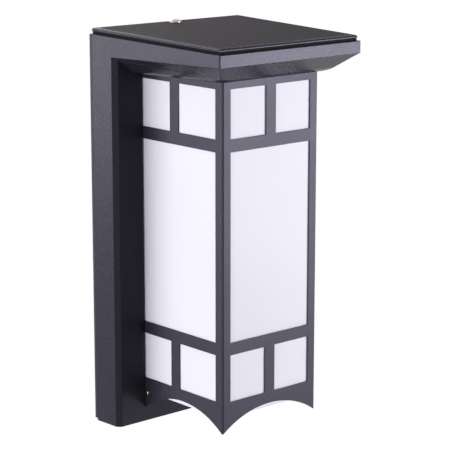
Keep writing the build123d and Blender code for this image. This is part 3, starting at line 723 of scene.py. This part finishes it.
@dataclass
class CrossHeadScrew:
    """Pan-head screw with a cross recess, upright, with the underside of its head at the origin.

    The dome, rim and recess depth are shares of the head's height, the recess's length and width of the
    head's radius, the tip of the core's radius, and the thread's depth, ridge and run-out of the pitch.
    recess_taper is the share of the recess's size that is left at its floor.
    """

    head_radius: float
    head_height: float
    shank_radius: float
    length: float
    pitch: float
    head_sides: int = 48
    shank_sides: int = 32
    dome: float = 0.75
    dome_steps: int = 6
    rim: float = 0.08
    bevel_steps: int = 2
    recess_length: float = 1.15
    recess_width: float = 0.24
    recess_depth: float = 0.62
    recess_taper: float = 0.35
    tip: float = 0.3
    thread_depth: float = 0.5
    ridge: float = 0.42
    ridge_sides: int = 3
    run_out: float = 0.7
    thread_steps: int = 24
    crease: float = 40.0

    def build(self, name: str) -> bpy.types.Object:
        """Models the screw.

        Args:
            name: Name of the piece.

        Returns:
            The screw as one mesh of three closed shells.
        """
        screw = join(name, [self._head(), self._shank(), self._thread()])
        smooth(screw, self.crease)
        return screw

    def _head(self) -> bpy.types.Object:
        """Turns the domed head and cuts its recess.

        Returns:
            The head.
        """
        height = self.head_height
        head = add_rod(self.head_radius, 0.0, height, self.head_sides)
        bevel_level(head, height, self.dome * height, self.dome_steps)
        bevel_level(head, 0.0, self.rim * height, self.bevel_steps)
        for turn in (0.0, QUARTER_TURN):
            self._cut(head, turn)
        return head

    def _cut(self, head: bpy.types.Object, turn: float) -> None:
        """Cuts one tapered slot of the recess.

        Args:
            head: The head to cut.
            turn: Turn of the slot about the screw's axis, in radians.
        """
        bpy.ops.mesh.primitive_cube_add(size=1.0)
        blade = bpy.context.object
        blade.scale = (
            self.recess_length * self.head_radius,
            self.recess_width * self.head_radius,
            2 * self.recess_depth * self.head_height,
        )
        blade.location.z = self.head_height
        blade.rotation_euler.z = turn
        settle(blade)
        with editing(blade):
            choose(blade, Part.FACES, lambda face: face.normal.z < -FACING)
            bpy.ops.transform.resize(
                value=(self.recess_taper, self.recess_taper, 1.0), center_override=CENTRE
            )
        work(head, "BOOLEAN", operation="DIFFERENCE", object=blade, solver="EXACT")
        bpy.data.objects.remove(blade)

    def _shank(self) -> bpy.types.Object:
        """Turns the core of the shank, with a bevelled tip.

        Returns:
            The core.
        """
        core = self.shank_radius - self.thread_depth * self.pitch
        shank = add_rod(core, -self.length, 0.0, self.shank_sides)
        bevel_level(shank, -self.length, self.tip * core, self.bevel_steps)
        return shank

    def _thread(self) -> bpy.types.Object:
        """Winds the ridge of the thread round the shank.

        Returns:
            The ridge, closed at both ends.
        """
        radius = self.ridge * self.pitch
        turns = int((self.length - self.pitch) / self.pitch)
        bpy.ops.mesh.primitive_circle_add(
            vertices=self.ridge_sides, radius=radius, rotation=(QUARTER_TURN, 0.0, 0.0)
        )
        thread = bpy.context.object
        settle(thread)
        with editing(thread):
            bpy.ops.transform.rotate(value=QUARTER_TURN, orient_axis="Y", center_override=CENTRE)
        thread.location = (self.shank_radius - radius, 0.0, -self.pitch * (turns + self.run_out))
        settle(thread)
        work(
            thread,
            "SCREW",
            axis="Z",
            angle=2 * math.pi,
            screw_offset=self.pitch,
            iterations=turns,
            steps=self.thread_steps,
            render_steps=self.thread_steps,
        )
        with editing(thread):
            bpy.ops.mesh.fill_holes(sides=self.ridge_sides)
            bpy.ops.mesh.normals_make_consistent(inside=False)
        return thread

    def copies(self, name: str, places: list[Matrix]) -> bpy.types.Object:
        """Models the screw once and copies it to several places.

        Args:
            name: Name of the piece.
            places: Place and turn of each screw.

        Returns:
            One piece that holds all the screws.
        """
        first = self.build(name)
        made = []
        for place in places:
            screw = bpy.data.objects.new(name, first.data.copy())
            bpy.context.scene.collection.objects.link(screw)
            screw.matrix_world = place
            settle(screw)
            made.append(screw)
        bpy.data.objects.remove(first)
        return join(name, made)


@dataclass
class Housing:
    """Back box and canopy in one painted casting, and the screws under its foot.

    side_end and front_end are the X and Y at which the flat facet on a front corner of the box meets the
    box's side and front.
    """

    edge_radius: float = 0.5 * MILLIMETRE
    side_end: tuple[float, float] = (79.0 * MILLIMETRE, -26.65 * MILLIMETRE)
    front_end: tuple[float, float] = (75.0 * MILLIMETRE, -30.5 * MILLIMETRE)
    front_margin: float = 0.5 * MILLIMETRE
    box_top: float = 145.0 * MILLIMETRE
    screw: CrossHeadScrew = field(
        default_factory=lambda: CrossHeadScrew(
            head_radius=4.0 * MILLIMETRE,
            head_height=2.5 * MILLIMETRE,
            shank_radius=2.0 * MILLIMETRE,
            length=5.5 * MILLIMETRE,
            pitch=0.7 * MILLIMETRE,
        )
    )

    def build(self) -> None:
        """Makes the casting and its screws."""
        self._casting()
        self._foot_screws()

    def _casting(self) -> None:
        """Makes the casting with flat corners and rounded edges, and paints shade on the front of the box
        with a darker, duller paint.
        """
        shell = copy_node("housing")
        for side in (-1, 1):
            self._flatten_corner(shell, side)
        round_edges(shell, self.edge_radius)
        # The front of the box behind the lantern gets painted shade: a darker, duller paint.
        paint_faces(shell, HOUSING_PAINT, FRONT_SHADE_PAINT, self._in_painted_shade)
        fit(shell, Body.HOUSING, Slot.HOUSING_PAINT, "housing")

    def _in_painted_shade(self, face: bpy.types.MeshPolygon) -> bool:
        """Whether a face belongs to the front of the box behind the lantern or to its corner facets,
        which take the painted shade.
        """
        behind = face.center.y > self.front_end[1] - self.front_margin
        return behind and face.normal.y < -FACING and face.center.z < self.box_top

    def _flatten_corner(self, shell: bpy.types.Object, side: int) -> None:
        """Presses the rounded front corner of the box on one side to a flat facet.

        Args:
            shell: The housing's copy.
            side: Minus one for the left corner and plus one for the right corner.
        """
        start = Vector((side * self.side_end[0], self.side_end[1], 0.0))
        end = Vector((side * self.front_end[0], self.front_end[1], 0.0))
        along = (end - start).normalized()
        up = Vector((0.0, 0.0, 1.0))
        out = along.cross(up) * -side

        def on_corner(vertex: Any) -> bool:
            """Whether a vertex of the box bulges out of the facet."""
            on_box = vertex.co.z < self.box_top and vertex.co.y > self.front_end[1] - NEAR
            return on_box and (vertex.co - start).dot(out) > NEAR

        with editing(shell):
            choose(shell, Part.CORNERS, on_corner)
            bpy.ops.transform.resize(
                value=(1.0, 1.0, 0.0),
                orient_type="NORMAL",
                orient_matrix=(along, up, out),
                orient_matrix_type="NORMAL",
                center_override=start,
            )

    def _foot_screws(self) -> None:
        """Makes the screws that come up from below, in the place of the CAD ones."""
        low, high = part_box("housing_screws")
        seat = low[2] + self.screw.head_height
        middle = (low[1] + high[1]) / 2
        down = Matrix.Rotation(math.pi, 4, "X")
        sides = (low[0] + self.screw.head_radius, high[0] - self.screw.head_radius)
        places = [Matrix.Translation((side, middle, seat)) @ down for side in sides]
        screws = self.screw.copies("foot_screws", places)
        dress(screws, BLACK_SCREW)
        fit(screws, Body.HOUSING, Slot.BLACK_SCREW, "housing_screws")


@dataclass
class Lid:
    """Textured lid with a smooth rounded rim, its seal and its bright screw.

    rise is the height of the lid's top above the screw joint's point, and top_facing the least part of a
    face's normal along the joint's axis for the face to belong to the textured top.
    """

    edge_radius: float = 0.3 * MILLIMETRE
    rise: float = 4.6 * MILLIMETRE
    top_facing: float = 0.995
    screw_turn: float = 50.0
    screw: CrossHeadScrew = field(
        default_factory=lambda: CrossHeadScrew(
            head_radius=5.2 * MILLIMETRE,
            head_height=2.2 * MILLIMETRE,
            shank_radius=2.5 * MILLIMETRE,
            length=15.5 * MILLIMETRE,
            pitch=0.8 * MILLIMETRE,
        )
    )

    def build(self) -> None:
        """Makes the lid, its seal and its screw."""
        hinge = next(joint for joint in frame["joints"] if joint["name"] == "lid_screw_turn")
        axis = Vector(hinge["axis"])
        self._plate(axis)
        dress_nodes(SEAL_RUBBER, "lid_gasket")
        self._screw(axis, Vector(hinge["pos_m"]) + axis * self.rise)

    def _plate(self, axis: Vector) -> None:
        """Makes the plate, textured on its flat top and smooth on its rim.

        Args:
            axis: Direction that the lid's top looks in.
        """
        plate = copy_node("top_lid")
        round_edges(plate, self.edge_radius)
        paint_faces(plate, HOUSING_PAINT, LID_PAINT, lambda face: face.normal.dot(axis) > self.top_facing)
        fit(plate, Body.LID, Slot.LID_PAINT, "top_lid")

    def _screw(self, axis: Vector, seat: Vector) -> None:
        """Makes the bright screw.

        Args:
            axis: Direction that the screw's head looks in.
            seat: Middle of the head's underside.
        """
        upright = axis.to_track_quat("Z", "X").to_matrix().to_4x4()
        turned = upright @ Matrix.Rotation(math.radians(self.screw_turn), 4, "Z")
        screw = self.screw.copies("lid_screw_bright", [Matrix.Translation(seat) @ turned])
        dress(screw, BRIGHT_METAL)
        fit(screw, Body.LID_SCREW, Slot.BRIGHT_SCREW, "lid_screw")


@dataclass
class Lantern:
    """Folded sheet frame with opal panes, and what holds them."""

    edge_radius: float = 0.18 * MILLIMETRE
    screw: CrossHeadScrew = field(
        default_factory=lambda: CrossHeadScrew(
            head_radius=1.9 * MILLIMETRE,
            head_height=1.1 * MILLIMETRE,
            shank_radius=1.25 * MILLIMETRE,
            length=5.0 * MILLIMETRE,
            pitch=0.5 * MILLIMETRE,
        )
    )

    def build(self) -> None:
        """Makes the frame and its side screws, and dresses the panes."""
        self._sheet()
        self._side_screws()
        dress_nodes(OPAL_PANE, "diffuser_front", "diffuser_left", "diffuser_right", "diffuser_base")
        dress_nodes(ZINC_SHEET, "corner_angles", "base_clips")
        dress_nodes(ZINC_SCREW, "frame_top_screws")

    def _sheet(self) -> None:
        """Makes the folded sheet with softened edges."""
        sheet = copy_node("lantern_frame")
        round_edges(sheet, self.edge_radius)
        dress(sheet, FRAME_PAINT)
        fit(sheet, Body.HOUSING, Slot.FRAME_PAINT, "lantern_frame")

    def _side_screws(self) -> None:
        """Makes one screw low on each side, in the place of the CAD ones."""
        low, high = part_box("frame_side_screws")
        middle = [(low[axis] + high[axis]) / 2 for axis in (1, 2)]
        places = []
        for side, face in ((-1, low[0] + self.screw.head_height), (1, high[0] - self.screw.head_height)):
            turn = Matrix.Rotation(side * QUARTER_TURN, 4, "Y")
            places.append(Matrix.Translation((face, *middle)) @ turn)
        screws = self.screw.copies("side_screws_bright", places)
        dress(screws, DULL_METAL)
        fit(screws, Body.HOUSING, Slot.BRIGHT_SCREW, "frame_side_screws")


def round_leads(node: str, crease: float = 70.0) -> None:
    """Makes a CAD node's wires round and smooth, red on the left and black on the right.

    Args:
        node: Name of the CAD node.
        crease: Largest angle that is shaded smooth.
    """
    leads = copy_node(node)
    smooth(leads, crease)
    paint_faces(leads, RED_LEAD, BLACK_LEAD, lambda face: face.center.x > 0)
    fit(leads, Body.HOUSING, Slot.LEAD, node)


@dataclass
class LightEngine:
    """LED tray with its boards, and the driver under the lid."""

    case_radius: float = 0.8 * MILLIMETRE
    case_steps: int = 3

    def build(self) -> None:
        """Rounds the driver's case and leads, and dresses the rest."""
        case = copy_node("led_driver")
        round_edges(case, self.case_radius, steps=self.case_steps)
        dress(case, DRIVER_CASE)
        fit(case, Body.HOUSING, Slot.DRIVER_CASE, "led_driver")
        round_leads("output_leads")
        dress_nodes(WHITE_PAINT, "led_tray")
        dress_nodes(BOARD, "led_board_left", "led_board_right")
        dress_nodes(PHOSPHOR, "led_chips")
        dress_nodes(ZINC_SCREW, "led_tray_screws", "driver_screws")


@dataclass
class WallFixing:
    """Painted wall plate with its foam seal, cable bush and terminals."""

    edge_radius: float = 0.3 * MILLIMETRE
    bush_radius: float = 0.4 * MILLIMETRE
    bush_steps: int = 3
    bush_edge_length: float = 0.5 * MILLIMETRE

    def build(self) -> None:
        """Rounds the plate, bush and leads, and dresses the rest."""
        plate = copy_node("wall_plate")
        round_edges(plate, self.edge_radius)
        dress(plate, FRAME_PAINT)
        fit(plate, Body.HOUSING, Slot.PLATE_PAINT, "wall_plate")
        bush = copy_node("cable_grommet")
        round_edges(bush, self.bush_radius, steps=self.bush_steps, length=self.bush_edge_length)
        dress(bush, RUBBER)
        fit(bush, Body.HOUSING, Slot.SEAL, "cable_grommet")
        round_leads("supply_leads")
        dress_nodes(FOAM, "wall_gasket")
        dress_nodes(TERMINAL, "terminal_block")
        dress_nodes(ZINC_SCREW, "terminal_block_screw")
        dress_nodes(BRASS, "ground_screw")


def point_at(thing: bpy.types.Object, place: Vector, target: Vector) -> None:
    """Stands a lamp or the camera at a place, turned to a target."""
    thing.location = place
    thing.rotation_euler = (target - place).to_track_quat("-Z", "Y").to_euler()


@dataclass
class Softbox:
    """Large soft lamp of the studio."""

    name: str
    place: Place
    width: float
    height: float
    power: float

    def build(self, target: Vector) -> None:
        """Adds the lamp.

        Args:
            target: Place that the lamp is turned to.
        """
        lamp = bpy.data.lights.new(self.name, "AREA")
        lamp.shape = "RECTANGLE"
        lamp.size = self.width
        lamp.size_y = self.height
        lamp.energy = self.power
        stand = bpy.data.objects.new(self.name, lamp)
        bpy.context.scene.collection.objects.link(stand)
        stand.visible_camera = False
        point_at(stand, Vector(self.place), target)


@dataclass
class Studio:
    """Camera, soft lamps, white surround and pale floor."""

    eye: Place = (-0.9476, -1.1477, 0.3193)
    target: Place = (0.01795, -0.05244, -0.00064)
    lens: float = 144.4
    sensor_width: float = 36.0
    floor_level: float = -1.1
    floor_size: float = 30.0
    floor_colour: Colour = (0.8, 0.8, 0.8)
    surround: float = 0.18
    lamp_target: Place = (0.0, -0.07, 0.0)
    lamps: list[Softbox] = field(
        default_factory=lambda: [
            Softbox("left_softbox", (-1.55, 0.20, 0.03), width=3.0, height=0.56, power=36.5),
            Softbox("right_softbox", (1.10, -1.30, -0.03), width=0.8, height=0.75, power=28.0),
            Softbox("back_softbox", (0.50, 1.50, 0.40), width=1.2, height=0.5, power=5.5),
            Softbox("overhead_softbox", (-0.35, 0.55, 0.75), width=0.5, height=0.5, power=4.0),
        ]
    )

    def build(self) -> None:
        """Sets up the whole studio."""
        self._camera()
        self._world()
        self._floor()
        for lamp in self.lamps:
            lamp.build(Vector(self.lamp_target))

    def _camera(self) -> None:
        """Adds the camera at the photograph's viewing angle."""
        data = bpy.data.cameras.new("camera")
        data.lens = self.lens
        data.sensor_width = self.sensor_width
        camera = bpy.data.objects.new("camera", data)
        bpy.context.scene.collection.objects.link(camera)
        point_at(camera, Vector(self.eye), Vector(self.target))
        bpy.context.scene.camera = camera
        bpy.context.scene.view_settings.view_transform = "Standard"

    @staticmethod
    def _seen(recipe: Recipe) -> Socket:
        """Tells rays that see the white surround, straight, mirrored or through a pane, from the rest.

        Args:
            recipe: Node tree of the material or world.

        Returns:
            One for such rays, and zero for the rest.
        """
        rays = ("Is Camera Ray", "Is Glossy Ray", "Is Transmission Ray")
        straight, mirrored, through = (recipe.node("ShaderNodeLightPath", output=ray) for ray in rays)
        return straight + mirrored + through > MIDDLE

    def _world(self) -> None:
        """Makes the surround white to the eye and dim as a light."""
        world = bpy.data.worlds.new("surround")
        bpy.context.scene.world = world
        world.use_nodes = True
        recipe = Recipe(world.node_tree)
        seen = self._seen(recipe)
        strength = seen + (1 - seen) * self.surround
        inputs = {"Color": opaque(WHITE), "Strength": strength}
        background = recipe.node("ShaderNodeBackground", inputs=inputs)
        recipe.node("ShaderNodeOutputWorld", inputs={"Surface": background})

    def _floor(self) -> None:
        """Adds the floor, which looks white and lights the light from below as a pale floor does."""
        bpy.ops.mesh.primitive_plane_add(size=self.floor_size, location=(0, 0, self.floor_level))
        floor = bpy.context.object
        floor.name = "floor"
        made = bpy.data.materials.new("floor_white")
        made.use_nodes = True
        recipe = Recipe(made.node_tree)
        seen = self._seen(recipe)
        matte = recipe.node("ShaderNodeBsdfDiffuse", inputs={"Color": opaque(self.floor_colour)})
        white = recipe.node("ShaderNodeEmission", inputs={"Strength": 1.0})
        surface = recipe.node("ShaderNodeMixShader", inputs={0: seen, 1: matte, 2: white})
        recipe.node("ShaderNodeOutputMaterial", inputs={"Surface": surface})
        cover(floor, made)


def main() -> None:
    """Builds the studio and every piece of the light."""
    logging.basicConfig(level=logging.INFO, format="%(message)s")
    bpy.ops.object.select_all(action="DESELECT")
    Studio().build()
    for assembly in (Housing(), Lid(), Lantern(), LightEngine(), WallFixing()):
        log.info("building %s", type(assembly).__name__)
        assembly.build()


if __name__ == "__main__":
    main()
